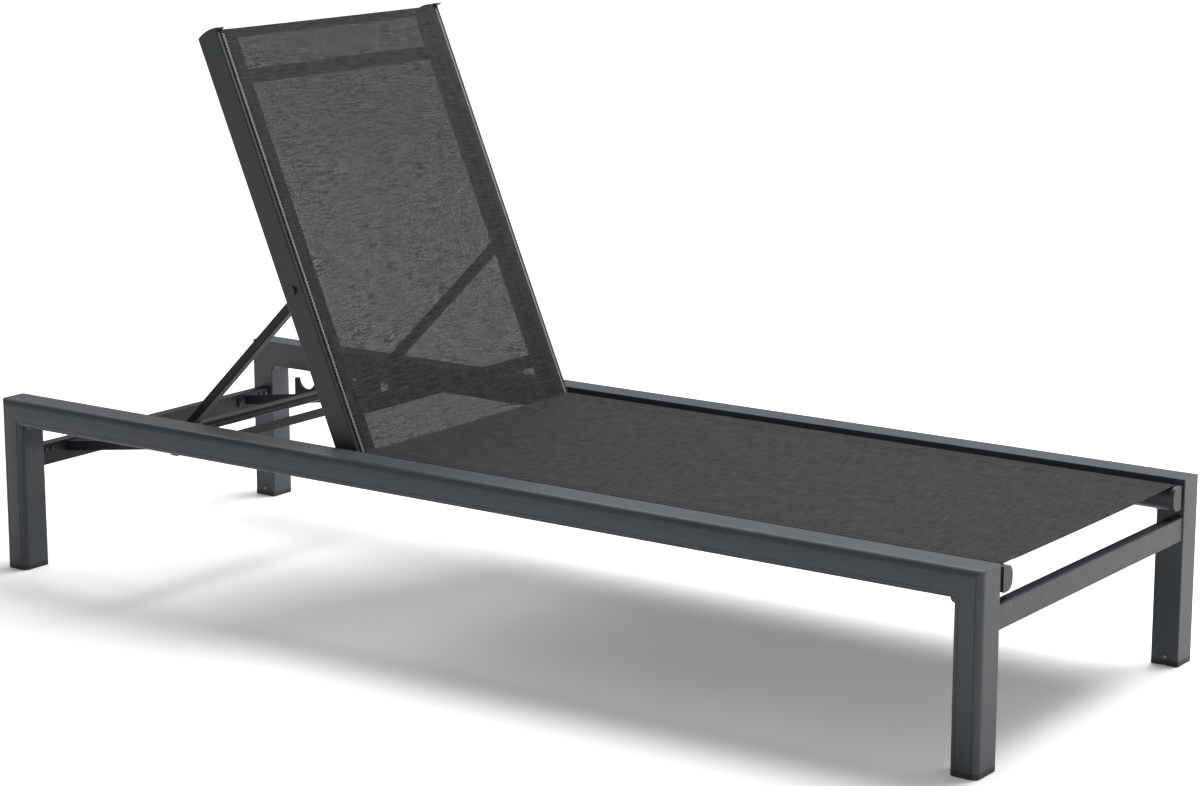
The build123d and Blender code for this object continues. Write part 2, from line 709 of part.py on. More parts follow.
with BuildPart() as hanger_heads:
    for x in hanger_screws:
        for side in (-1, 1):
            with BuildSketch(section_sideways(x, rail_axis_z - 2.0, side * (inner_face - hanger))):
                Circle(rivet_radius)
            extrude(amount=side * 2.2)
    fillet(hanger_heads.edges().filter_by(lambda edge: abs(edge.center().Y) < inner_face - hanger - 1), 1.0)
save(hanger_heads.part, "tie_bar_screws")

# Blind bolts: one through each notch plate's tab, two near each end of the head crossbar.
bolt_spots = [(notch_y - 15.0, tab_z, bar_start + 4.0)]
bolt_spots += [(inner_face - inset, head_bar_top - 11.0, bar_start) for inset in (12.0, 27.0)]
with BuildPart() as head_bolts:
    for y, z, x in bolt_spots:
        for side in (-1, 1):
            with BuildSketch(Plane(origin=(x, side * y, z), z_dir=(1, 0, 0))):
                Circle(rivet_radius)
            extrude(amount=2.5)
    fillet(head_bolts.edges().filter_by(GeomType.CIRCLE).group_by(Axis.X)[-1], 1.0)
save(head_bolts.part, "head_crossbar_bolts")
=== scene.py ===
"""Looks of a reclining sun lounger: powder-coated aluminium frame, woven slings, notched prop."""
import json
import math

import bmesh
import bpy
from mathutils import Matrix, Vector


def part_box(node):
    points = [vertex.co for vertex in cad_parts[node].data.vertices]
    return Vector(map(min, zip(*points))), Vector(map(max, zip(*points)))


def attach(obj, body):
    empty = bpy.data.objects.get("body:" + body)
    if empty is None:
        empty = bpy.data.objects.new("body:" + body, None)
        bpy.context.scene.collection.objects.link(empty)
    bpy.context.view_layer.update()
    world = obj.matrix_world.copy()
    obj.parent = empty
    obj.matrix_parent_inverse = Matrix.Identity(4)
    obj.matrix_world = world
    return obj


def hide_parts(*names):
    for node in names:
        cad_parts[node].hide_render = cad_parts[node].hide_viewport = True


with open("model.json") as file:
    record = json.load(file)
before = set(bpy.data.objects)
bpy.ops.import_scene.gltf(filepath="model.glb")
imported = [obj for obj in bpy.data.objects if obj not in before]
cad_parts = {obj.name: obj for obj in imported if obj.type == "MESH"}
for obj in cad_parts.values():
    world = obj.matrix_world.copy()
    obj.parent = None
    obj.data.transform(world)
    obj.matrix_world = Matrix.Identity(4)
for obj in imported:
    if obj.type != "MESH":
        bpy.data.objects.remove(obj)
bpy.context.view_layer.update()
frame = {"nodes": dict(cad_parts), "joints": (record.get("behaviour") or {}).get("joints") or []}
nodes = frame["nodes"]

# ---------------------------------------------------------------- camera, floor and light
# A long lens beyond the foot end, to one side, and a white studio sweep that glows by its own
# emission, a painted glow, weak near the lounger where it lifts the shadow and brighter away from
# it. A large soft key panel hangs above, behind the long side, with a weak one over the head end.
camera_data = bpy.data.cameras.new("camera")
camera_data.sensor_width = 36.0
camera_data.lens = 90.76
camera_data.clip_end = 60.0
camera = bpy.data.objects.new("camera", camera_data)
camera.location = (2.97907, -4.07101, 1.47797)
camera.rotation_euler = (math.radians(77.787), 0.0, math.radians(35.577))
bpy.context.scene.collection.objects.link(camera)
bpy.context.scene.camera = camera
bpy.context.scene.view_settings.view_transform = "Standard"


def add_node(tree, kind, inputs=None, **settings):
    """One shader node; an input may be a value or another node's output socket."""
    node = tree.nodes.new(kind)
    for key, value in settings.items():
        setattr(node, key, value)
    for key, value in (inputs or {}).items():
        if isinstance(value, bpy.types.NodeSocket):
            tree.links.new(value, node.inputs[key])
        else:
            node.inputs[key].default_value = value
    return node


def new_material(name):
    """An empty node material: its tree, its Principled shader and itself."""
    material = bpy.data.materials.new(name)
    material.use_nodes = True
    tree = material.node_tree
    tree.nodes.clear()
    shader = add_node(tree, "ShaderNodeBsdfPrincipled")
    out = add_node(tree, "ShaderNodeOutputMaterial")
    tree.links.new(shader.outputs["BSDF"], out.inputs["Surface"])
    return material, tree, shader


def add_object(name, bm, material):
    """A finished bmesh as an object at the origin."""
    mesh = bpy.data.meshes.new(name)
    bm.to_mesh(mesh)
    bm.free()
    made = bpy.data.objects.new(name, mesh)
    made.data.materials.append(material)
    bpy.context.scene.collection.objects.link(made)
    return made


def smooth(made, angle=40.0):
    """Smooth shading with sharp edges kept."""
    for face in made.data.polygons:
        face.use_smooth = True
    made.data.set_sharp_from_angle(angle=math.radians(angle))
    return made


floor_material, floor_tree, floor_shader = new_material("studio_floor")
floor_noise = add_node(floor_tree, "ShaderNodeTexNoise", {"Scale": 3.0, "Detail": 2.0})
floor_colour = add_node(
    floor_tree, "ShaderNodeMix", {"Factor": floor_noise.outputs["Fac"]}, data_type="RGBA")
floor_colour.inputs["A"].default_value = (0.90, 0.90, 0.90, 1.0)
floor_colour.inputs["B"].default_value = (0.93, 0.93, 0.93, 1.0)
floor_tree.links.new(floor_colour.outputs["Result"], floor_shader.inputs["Base Color"])
floor_shader.inputs["Roughness"].default_value = 0.9
# The floor emits light itself: a painted glow, weak under the lounger and stronger away from it.
floor_away = add_node(floor_tree, "ShaderNodeVectorMath", {
    0: add_node(floor_tree, "ShaderNodeTexCoord").outputs["Object"]}, operation="LENGTH")
floor_painted_glow = add_node(floor_tree, "ShaderNodeMapRange", {
    "Value": floor_away.outputs["Value"], "From Min": 1.2, "From Max": 5.0, "To Min": 0.12, "To Max": 0.9})
floor_shader.inputs["Emission Color"].default_value = (1.0, 1.0, 1.0, 1.0)
floor_tree.links.new(floor_painted_glow.outputs[0], floor_shader.inputs["Emission Strength"])
floor_shader.inputs["Specular IOR Level"].default_value = 0.1
floor_mesh = bmesh.new()
bmesh.ops.create_grid(floor_mesh, x_segments=2, y_segments=2, size=22.0)
floor = add_object("studio_floor", floor_mesh, floor_material)

world = bpy.data.worlds.new("studio")
world.use_nodes = True
bpy.context.scene.world = world
sky = world.node_tree
sky.nodes.clear()
sky_light = add_node(sky, "ShaderNodeBackground", {"Color": (1.0, 1.0, 1.0, 1.0), "Strength": 0.34})
sky_seen = add_node(sky, "ShaderNodeBackground", {"Color": (1.0, 1.0, 1.0, 1.0), "Strength": 1.0})
sky_ray = add_node(sky, "ShaderNodeLightPath")
sky_mix = add_node(sky, "ShaderNodeMixShader", {"Fac": sky_ray.outputs["Is Camera Ray"]})
sky.links.new(sky_light.outputs[0], sky_mix.inputs[1])
sky.links.new(sky_seen.outputs[0], sky_mix.inputs[2])
sky_out = add_node(sky, "ShaderNodeOutputWorld")
sky.links.new(sky_mix.outputs[0], sky_out.inputs["Surface"])


def add_panel(name, place, aim, width, height, power):
    """A soft light panel that faces a point."""
    data = bpy.data.lights.new(name, "AREA")
    data.shape = "RECTANGLE"
    data.size = width
    data.size_y = height
    data.energy = power
    panel = bpy.data.objects.new(name, data)
    panel.location = place
    panel.rotation_euler = (Vector(aim) - Vector(place)).to_track_quat("-Z", "Y").to_euler()
    bpy.context.scene.collection.objects.link(panel)


add_panel("key_panel", (0.8, 2.0, 4.2), (0.0, 0.0, 0.3), 3.6, 3.0, 370.0)
add_panel("head_panel", (-2.6, 1.6, 3.4), (-0.2, 0.0, 0.3), 2.4, 2.0, 45.0)

# ---------------------------------------------------------------- side frames and legs
# Two side frames of crowned aluminium extrusion, mitred and welded at the corners, with a
# shadow groove along each rounded edge, and finished in fine satin grey powder coat.


def make_coat_group():
    """Powder coat: tint mottling, fine grain, orange peel, and lighter edges: scuffs and painted highlight."""
    group = bpy.data.node_groups.new("powder_coat_grain", "ShaderNodeTree")
    group.interface.new_socket("Shade", in_out="INPUT", socket_type="NodeSocketColor")
    group.interface.new_socket("Worn and highlit", in_out="INPUT", socket_type="NodeSocketColor")
    group.interface.new_socket("Colour", in_out="OUTPUT", socket_type="NodeSocketColor")
    group.interface.new_socket("Roughness", in_out="OUTPUT", socket_type="NodeSocketFloat")
    group.interface.new_socket("Normal", in_out="OUTPUT", socket_type="NodeSocketVector")
    given = add_node(group, "NodeGroupInput")
    made = add_node(group, "NodeGroupOutput")
    place = add_node(group, "ShaderNodeTexCoord")
    where = place.outputs["Object"]
    mottle = add_node(group, "ShaderNodeTexNoise", {"Vector": where, "Scale": 9.0, "Detail": 3.0})
    grain = add_node(group, "ShaderNodeTexNoise", {"Vector": where, "Scale": 1400.0, "Detail": 2.0})
    peel = add_node(group, "ShaderNodeTexNoise", {"Vector": where, "Scale": 260.0, "Detail": 2.0})
    rub_and_highlight_noise = add_node(group, "ShaderNodeTexNoise", {"Vector": where, "Scale": 45.0, "Detail": 4.0})
    tint = add_node(group, "ShaderNodeMapRange", {
        "Value": mottle.outputs["Fac"], "From Min": 0.3, "From Max": 0.7, "To Min": 0.94, "To Max": 1.07})
    speck = add_node(group, "ShaderNodeMapRange", {
        "Value": grain.outputs["Fac"], "From Min": 0.3, "From Max": 0.7, "To Min": 0.86, "To Max": 1.16})
    shade = add_node(group, "ShaderNodeMath", {0: tint.outputs[0], 1: speck.outputs[0]}, operation="MULTIPLY")
    base = add_node(group, "ShaderNodeVectorMath", {
        0: given.outputs["Shade"], "Scale": shade.outputs[0]}, operation="SCALE")
    # Lighter patches along the edges: partly scuffed paint, partly a painted highlight of the edges.
    rounded = add_node(group, "ShaderNodeBevel", {"Radius": 0.0009}, samples=4)
    shape = add_node(group, "ShaderNodeNewGeometry")
    turn = add_node(group, "ShaderNodeVectorMath", {
        0: rounded.outputs["Normal"], 1: shape.outputs["Normal"]}, operation="DOT_PRODUCT")
    edge = add_node(group, "ShaderNodeMapRange", {
        "Value": turn.outputs["Value"], "From Min": 0.995, "From Max": 0.90, "To Min": 0.0, "To Max": 1.0})
    patchy = add_node(group, "ShaderNodeMapRange", {
        "Value": rub_and_highlight_noise.outputs["Fac"], "From Min": 0.42, "From Max": 0.68, "To Min": 0.12, "To Max": 0.75})
    wear_and_highlight = add_node(group, "ShaderNodeMath", {0: edge.outputs[0], 1: patchy.outputs[0]}, operation="MULTIPLY")
    colour = add_node(group, "ShaderNodeMix", {"Factor": wear_and_highlight.outputs[0]}, data_type="RGBA")
    group.links.new(base.outputs["Vector"], colour.inputs["A"])
    group.links.new(given.outputs["Worn and highlit"], colour.inputs["B"])
    gloss = add_node(group, "ShaderNodeMapRange", {
        "Value": peel.outputs["Fac"], "From Min": 0.3, "From Max": 0.7, "To Min": 0.38, "To Max": 0.50})
    relief = add_node(group, "ShaderNodeMath", {
        0: grain.outputs["Fac"], 1: 0.45, 2: peel.outputs["Fac"]}, operation="MULTIPLY_ADD")
    bump = add_node(group, "ShaderNodeBump", {
        "Height": relief.outputs[0], "Strength": 0.22, "Distance": 0.00025})
    group.links.new(colour.outputs["Result"], made.inputs["Colour"])
    group.links.new(gloss.outputs[0], made.inputs["Roughness"])
    group.links.new(bump.outputs["Normal"], made.inputs["Normal"])
    return group


coat_group = make_coat_group()


def make_coat(name, shade, worn_and_highlight, shine=0.4):
    """A powder-coat material of one shade."""
    material, tree, shader = new_material(name)
    grain = add_node(tree, "ShaderNodeGroup", node_tree=coat_group)
    grain.inputs["Shade"].default_value = (*shade, 1.0)
    grain.inputs["Worn and highlit"].default_value = (*worn_and_highlight, 1.0)
    tree.links.new(grain.outputs["Colour"], shader.inputs["Base Color"])
    tree.links.new(grain.outputs["Roughness"], shader.inputs["Roughness"])
    tree.links.new(grain.outputs["Normal"], shader.inputs["Normal"])
    shader.inputs["Specular IOR Level"].default_value = shine
    return material


def paint(material, *names):
    """Gives CAD nodes their material."""
    for name in names:
        slots = nodes[name].data.materials
        slots.clear()
        slots.append(material)


def both(*stems):
    """The left and the right node of each name."""
    return [f"{stem}_{side}" for stem in stems for side in ("left", "right")]


frame_coat = make_coat("frame_coat", (0.031, 0.037, 0.044), (0.083, 0.092, 0.102))
paint(frame_coat, *both("side_rail", "leg_head", "leg_foot"))

# ---------------------------------------------------------------- leg caps
# Black injection-moulded caps pushed into the leg ends, each held by one stainless screw with a
# hexagon socket.


def make_moulded(name, shade, roughness):
    """Moulded plastic with a fine spark-eroded grain."""
    material, tree, shader = new_material(name)
    where = add_node(tree, "ShaderNodeTexCoord").outputs["Object"]
    grain = add_node(tree, "ShaderNodeTexNoise", {"Vector": where, "Scale": 1900.0, "Detail": 2.0})
    cloud = add_node(tree, "ShaderNodeTexNoise", {"Vector": where, "Scale": 30.0, "Detail": 3.0})
    colour = add_node(tree, "ShaderNodeMix", {"Factor": cloud.outputs["Fac"]}, data_type="RGBA")
    colour.inputs["A"].default_value = (shade * 0.8, shade * 0.8, shade * 0.82, 1.0)
    colour.inputs["B"].default_value = (shade * 1.25, shade * 1.27, shade * 1.3, 1.0)
    rough = add_node(tree, "ShaderNodeMapRange", {
        "Value": grain.outputs["Fac"], "To Min": roughness - 0.08, "To Max": roughness + 0.1})
    bump = add_node(tree, "ShaderNodeBump", {
        "Height": grain.outputs["Fac"], "Strength": 0.3, "Distance": 0.00012})
    tree.links.new(colour.outputs["Result"], shader.inputs["Base Color"])
    tree.links.new(rough.outputs[0], shader.inputs["Roughness"])
    tree.links.new(bump.outputs["Normal"], shader.inputs["Normal"])
    return material


def make_steel(name, dull, bright):
    """Turned stainless steel: rings of fine machining marks and a little tarnish."""
    material, tree, shader = new_material(name)
    where = add_node(tree, "ShaderNodeTexCoord").outputs["Object"]
    marks = add_node(tree, "ShaderNodeTexNoise", {"Vector": where, "Scale": 900.0, "Detail": 3.0})
    tarnish = add_node(tree, "ShaderNodeTexNoise", {"Vector": where, "Scale": 140.0, "Detail": 4.0})
    colour = add_node(tree, "ShaderNodeMix", {"Factor": tarnish.outputs["Fac"]}, data_type="RGBA")
    colour.inputs["A"].default_value = (*dull, 1.0)
    colour.inputs["B"].default_value = (*bright, 1.0)
    rough = add_node(tree, "ShaderNodeMapRange", {
        "Value": marks.outputs["Fac"], "To Min": 0.24, "To Max": 0.42})
    bump = add_node(tree, "ShaderNodeBump", {
        "Height": marks.outputs["Fac"], "Strength": 0.12, "Distance": 0.0001})
    tree.links.new(colour.outputs["Result"], shader.inputs["Base Color"])
    tree.links.new(rough.outputs[0], shader.inputs["Roughness"])
    tree.links.new(bump.outputs["Normal"], shader.inputs["Normal"])
    shader.inputs["Metallic"].default_value = 1.0
    return material


socket_rim = 0.16            # share of the socket's size
socket_sink = 0.0001


def add_sockets(name, body, spots, size):
    """Hexagon sockets in bolt heads, barely sunk and dark as painted shade; each spot is a head face's centre
    and its direction.
    """
    bm = bmesh.new()
    for centre, facing in spots:
        turn = Vector(facing).to_track_quat("Z", "Y").to_matrix().to_4x4()
        place = Matrix.Translation(centre) @ turn
        rim = bmesh.ops.create_circle(bm, cap_ends=True, segments=6, radius=size, matrix=place)
        faces = list({face for vert in rim["verts"] for face in vert.link_faces})
        bmesh.ops.inset_region(bm, faces=faces, thickness=size * socket_rim, depth=0.0)
        sunk = list({vert for face in faces for vert in face.verts})
        bmesh.ops.translate(bm, verts=sunk, vec=Vector(facing) * -socket_sink)
    made = add_object(name, bm, socket_painted_shade)
    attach(made, body)
    return made


cap_black = make_moulded("cap_black", 0.009, 0.55)
# Near-black colour for the shallow sockets: painted shade of a deep socket's inside.
socket_painted_shade = make_moulded("socket_painted_shade", 0.010, 0.6)
fastener_steel = make_steel("fastener_steel", (0.22, 0.22, 0.23), (0.36, 0.36, 0.37))
blackened_steel = make_steel("blackened_steel", (0.035, 0.037, 0.040), (0.065, 0.068, 0.072))
paint(cap_black, *both("leg_cap_head", "leg_cap_foot"))
paint(fastener_steel, "leg_cap_screws")


def head_spots(node, axis, lift=0.0002):
    """Centre and direction of the inner end of each bolt in a node."""
    found = []
    bm = bmesh.new()
    bm.from_mesh(nodes[node].data)
    bmesh.ops.remove_doubles(bm, verts=bm.verts, dist=0.00002)
    bm.verts.ensure_lookup_table()
    seen = set()
    for start in bm.verts:
        if start.index in seen:
            continue
        island, queue = [], [start]
        seen.add(start.index)
        while queue:
            vert = queue.pop()
            island.append(vert.co.copy())
            for link in vert.link_edges:
                other = link.other_vert(vert)
                if other.index not in seen:
                    seen.add(other.index)
                    queue.append(other)
        found.append(island)
    bm.free()
    spots = []
    for island in found:
        low = Vector([min(co[i] for co in island) for i in range(3)])
        high = Vector([max(co[i] for co in island) for i in range(3)])
        centre = (low + high) / 2
        if axis == "y":
            side = -1.0 if centre.y > 0 else 1.0
            centre.y = (low.y if side < 0 else high.y) + side * lift
            spots.append((centre, (0.0, side, 0.0)))
        else:
            centre.x = high.x + lift
            spots.append((centre, (1.0, 0.0, 0.0)))
    return spots


add_sockets("leg_cap_screw_sockets", "base", head_spots("leg_cap_screws", "y"), 0.0016)

# ---------------------------------------------------------------- end crossbars
# Rectangular tubes welded between the legs, the foot one drained through its top, in the same
# powder coat, given darker copies as painted shade: the foot one for the seat's shadow on it, the
# head one for the deeper shade under the seat.
# A darker copy of the powder coat for the foot crossbar: painted shade of the seat's shadow on it.
crossbar_painted_shade_coat = make_coat("crossbar_painted_shade_coat", (0.019, 0.023, 0.028), (0.070, 0.078, 0.087))
paint(crossbar_painted_shade_coat, "foot_crossbar")
# A much darker copy of the same powder coat, with less gloss: painted shade for parts under the seat and back.
painted_shade_coat = make_coat("painted_shade_coat", (0.009, 0.011, 0.014), (0.045, 0.050, 0.056), 0.2)
paint(painted_shade_coat, "head_crossbar")
paint(blackened_steel, "head_crossbar_bolts")
add_sockets("head_crossbar_bolt_sockets", "base", head_spots("head_crossbar_bolts", "x"), 0.0018)

# ---------------------------------------------------------------- seat rails and spreaders
# Hollow sling rails with a keder track, joined by round spreader tubes welded in place and
# carried on bolts and spacers inside the side frames.
rail_coat = make_coat("rail_coat", (0.025, 0.030, 0.036), (0.073, 0.082, 0.092))
paint(rail_coat, *both("seat_rail"), "seat_crossbar_head", "seat_crossbar_middle")
keder_cord = make_moulded("keder_cord", 0.030, 0.6)
rail_cap_grey = make_moulded("rail_cap_grey", 0.024, 0.5)
paint(keder_cord, *both("seat_keder"))
paint(rail_cap_grey, *both("seat_rail_foot_cap"))
paint(cap_black, *both("seat_rail_hinge_cap"), "seat_rail_spacers")
paint(blackened_steel, "seat_rail_bolts", "rivet_nuts")
add_sockets("seat_rail_bolt_sockets", "base", head_spots("seat_rail_bolts", "y"), 0.0032)

# ---------------------------------------------------------------- seat sling
# One piece of PVC-coated polyester mesh stretched between the seat rails: doubled hems with a
# cord inside are drawn into the rail tracks, sewn with dark lockstitch and a dark zigzag.
sling_track = 0.2910         # middle of the track mouth from the centre line
sling_edge = 0.2922          # where the fabric turns down into it
hem_inner = 0.2555           # inner edge of the doubled hem
rail_inside = 0.2710         # inner side of the sling rails
cloth = 0.00026              # thickness of one layer
weave_across = 0.0015        # pitch of the lengthwise yarns
weave_along = 0.00125        # pitch of the crosswise yarns


def make_weave_group():
    """Plain weave in metres of cloth: relief, open gaps and slubby crosswise streaks."""
    group = bpy.data.node_groups.new("sling_weave", "ShaderNodeTree")
    group.interface.new_socket("Cloth", in_out="INPUT", socket_type="NodeSocketVector")
    group.interface.new_socket("Gap", in_out="INPUT", socket_type="NodeSocketFloat")
    for name in ("Relief", "Open", "Streak"):
        group.interface.new_socket(name, in_out="OUTPUT", socket_type="NodeSocketFloat")
    given = add_node(group, "NodeGroupInput")
    made = add_node(group, "NodeGroupOutput")
    parts = add_node(group, "ShaderNodeSeparateXYZ", {0: given.outputs["Cloth"]})
    yarns = []
    for axis, pitch in (("X", weave_across), ("Y", weave_along)):
        half = add_node(group, "ShaderNodeMath", {0: parts.outputs[axis], 1: pitch / 2}, operation="PINGPONG")
        share = add_node(group, "ShaderNodeMath", {0: half.outputs[0], 1: pitch / 2}, operation="DIVIDE")
        phase = add_node(group, "ShaderNodeMath", {
            0: parts.outputs[axis], 1: math.pi / pitch}, operation="MULTIPLY")
        wave = add_node(group, "ShaderNodeMath", {0: phase.outputs[0]}, operation="SINE")
        opened = add_node(group, "ShaderNodeMath", {
            0: share.outputs[0], 1: given.outputs["Gap"]}, operation="LESS_THAN")
        round_top = add_node(group, "ShaderNodeMath", {0: share.outputs[0], 1: 0.5}, operation="POWER")
        yarns.append((round_top.outputs[0], wave.outputs[0], opened.outputs[0]))
    crossing = add_node(group, "ShaderNodeMath", {0: yarns[0][1], 1: yarns[1][1]}, operation="MULTIPLY")
    over = add_node(group, "ShaderNodeMath", {0: yarns[0][0], 1: yarns[1][0]}, operation="MAXIMUM")
    relief = add_node(group, "ShaderNodeMath", {
        0: crossing.outputs[0], 1: 0.35, 2: over.outputs[0]}, operation="MULTIPLY_ADD")
    slub_place = add_node(group, "ShaderNodeVectorMath", {
        0: given.outputs["Cloth"], 1: (26.0, 380.0, 1.0)}, operation="MULTIPLY")
    slub = add_node(group, "ShaderNodeTexNoise", {
        "Vector": slub_place.outputs[0], "Scale": 1.0, "Detail": 2.0, "Roughness": 0.7})
    warp_place = add_node(group, "ShaderNodeVectorMath", {
        0: given.outputs["Cloth"], 1: (320.0, 18.0, 1.0)}, operation="MULTIPLY")
    warp = add_node(group, "ShaderNodeTexNoise", {"Vector": warp_place.outputs[0], "Scale": 1.0, "Detail": 2.0})
    streak = add_node(group, "ShaderNodeMath", {
        0: warp.outputs["Fac"], 1: 0.35, 2: slub.outputs["Fac"]}, operation="MULTIPLY_ADD")
    streak_out = add_node(group, "ShaderNodeMapRange", {
        "Value": streak.outputs[0], "From Min": 0.52, "From Max": 0.86, "To Min": 0.0, "To Max": 1.0})
    clear = add_node(group, "ShaderNodeMath", {0: streak_out.outputs[0], 1: 0.66}, operation="LESS_THAN")
    crossed = add_node(group, "ShaderNodeMath", {0: yarns[0][2], 1: yarns[1][2]}, operation="MULTIPLY")
    opened = add_node(group, "ShaderNodeMath", {
        0: crossed.outputs[0], 1: clear.outputs[0]}, operation="MULTIPLY")
    group.links.new(relief.outputs[0], made.inputs["Relief"])
    group.links.new(opened.outputs[0], made.inputs["Open"])
    group.links.new(streak_out.outputs[0], made.inputs["Streak"])
    return group


weave_group = make_weave_group()


def make_textile(name, dark, light, gap):
    """Woven textile; a gap over 0 leaves real openings between the yarns."""
    material, tree, shader = new_material(name)
    uv = add_node(tree, "ShaderNodeUVMap", uv_map="cloth")
    weave = add_node(tree, "ShaderNodeGroup", node_tree=weave_group)
    tree.links.new(uv.outputs["UV"], weave.inputs["Cloth"])
    weave.inputs["Gap"].default_value = gap
    colour = add_node(tree, "ShaderNodeMix", {"Factor": weave.outputs["Streak"]}, data_type="RGBA")
    colour.inputs["A"].default_value = (*dark, 1.0)
    colour.inputs["B"].default_value = (*light, 1.0)
    # The colour is darkened where the weave's relief is low: painted shade in the hollows between yarns.
    hollow_painted_shade = add_node(tree, "ShaderNodeMapRange", {
        "Value": weave.outputs["Relief"], "From Min": 0.2, "From Max": 1.1, "To Min": 0.62, "To Max": 1.1})
    shade = add_node(tree, "ShaderNodeVectorMath", {
        0: colour.outputs["Result"], "Scale": hollow_painted_shade.outputs[0]}, operation="SCALE")
    bump = add_node(tree, "ShaderNodeBump", {
        "Height": weave.outputs["Relief"], "Strength": 0.55, "Distance": 0.0003})
    tree.links.new(shade.outputs["Vector"], shader.inputs["Base Color"])
    tree.links.new(bump.outputs["Normal"], shader.inputs["Normal"])
    shader.inputs["Roughness"].default_value = 0.75
    shader.inputs["Specular IOR Level"].default_value = 0.12
    if gap:
        through = add_node(tree, "ShaderNodeBsdfTransparent")
        mixed = add_node(tree, "ShaderNodeMixShader", {"Fac": weave.outputs["Open"]})
        tree.links.new(shader.outputs["BSDF"], mixed.inputs[1])
        tree.links.new(through.outputs["BSDF"], mixed.inputs[2])
        out = next(node for node in tree.nodes if node.type == "OUTPUT_MATERIAL")
        tree.links.new(mixed.outputs[0], out.inputs["Surface"])
    return material


textile_open = make_textile("textile_open", (0.0120, 0.0125, 0.0138), (0.0385, 0.0397, 0.0422), 0.34)
textile_closed = make_textile("textile_closed", (0.0120, 0.0125, 0.0138), (0.0385, 0.0397, 0.0422), 0.0)


def add_cloth(name, width, start, end, height, place, material, cuts=(), step=0.03, layer=cloth):
    """A sheet of cloth with a height for each point across and along it, put in place."""
    bm = bmesh.new()
    length = end - start
    rows = max(2, round(length / step))
    columns = max(2, round((width[1] - width[0]) / step))
    bmesh.ops.create_grid(bm, x_segments=columns, y_segments=rows, size=0.5)
    scale = Matrix.Diagonal((width[1] - width[0], length, 1.0, 1.0))
    shift = Matrix.Translation(((width[0] + width[1]) / 2, (start + end) / 2, 0.0))
    bmesh.ops.transform(bm, matrix=shift @ scale, verts=bm.verts)
    for across in cuts:
        if width[0] < across < width[1]:
            bmesh.ops.bisect_plane(
                bm, geom=bm.verts[:] + bm.edges[:] + bm.faces[:], plane_co=(across, 0.0, 0.0),
                plane_no=(1.0, 0.0, 0.0))
    for vert in bm.verts:
        vert.co.z = height(vert.co.x, vert.co.y)
    bmesh.ops.solidify(bm, geom=bm.faces[:], thickness=layer)
    bmesh.ops.recalc_face_normals(bm, faces=bm.faces)
    uv = bm.loops.layers.uv.new("cloth")
    for face in bm.faces:
        for loop in face.loops:
            loop[uv].uv = (loop.vert.co.x, loop.vert.co.y)
    bmesh.ops.transform(bm, matrix=place, verts=bm.verts)
    bmesh.ops.recalc_face_normals(bm, faces=bm.faces)
    return smooth(add_object(name, bm, material), 60.0)


def sling_height(length, sag):
    """Height of a taut sling over the rails, in its own axes."""
    def height(across, along):
        away = abs(across)
        rise = 0.0016
        if away < hem_inner:
            rise -= 0.0005 * min(1.0, (hem_inner - away) / 0.0015)
        if away < rail_inside:
            share = 1.0 - (away / rail_inside) ** 2
            ends = min(1.0, along / 0.05, (length - along) / 0.05)
            rise -= sag * share * (0.55 + 0.45 * max(0.0, ends))
        if away > sling_track - 0.0008:
            rise -= 0.0045 * ((away - sling_track + 0.0008) / (sling_edge - sling_track + 0.0008)) ** 2
        return rise
    return height


edge_cuts = [side * across for side in (-1, 1) for across in (
    sling_edge - 0.0004, sling_edge - 0.0009, sling_track - 0.0003, sling_track - 0.0008, rail_inside,
    hem_inner, hem_inner - 0.0008, hem_inner - 0.0016)]

seat_low, seat_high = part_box("seat_sling")
seat_length = seat_high.x - seat_low.x
seat_place = Matrix.Translation((seat_low.x, 0.0, seat_low.z)) @ Matrix(
    ((0, 1, 0, 0), (-1, 0, 0, 0), (0, 0, 1, 0), (0, 0, 0, 1)))
seat_shape = sling_height(seat_length, 0.0025)
seat_textile = add_cloth(
    "seat_textile", (-sling_edge, sling_edge), 0.0, seat_length, seat_shape, seat_place, textile_open,
    edge_cuts)


def under(shape, gap=cloth):
    """The same surface one layer lower."""
    return lambda across, along: shape(across, along) - gap - 0.00004


def add_hems(prefix, shape, length, place, end_hems):
    """Doubled layers under the sling along both rails and, where given, across its ends."""
    made = []
    for side, name in ((-1, "left"), (1, "right")):
        inner, outer = sorted((side * hem_inner, side * (sling_track + 0.0002)))
        made.append(add_cloth(
            f"{prefix}_hem_{name}", (inner, outer), 0.0004, length - 0.0004, under(shape), place,
            textile_closed, edge_cuts))
    for name, start, end in end_hems:
        made.append(add_cloth(
            f"{prefix}_hem_{name}", (-hem_inner, hem_inner), start, end, under(shape), place,
            textile_closed, edge_cuts))
    return made


seat_foot_hem = 0.012
seat_hems = add_hems("seat", seat_shape, seat_length, seat_place, (
    ("foot", seat_length - seat_foot_hem, seat_length - 0.0002), ("hinge", 0.0002, seat_foot_hem)))


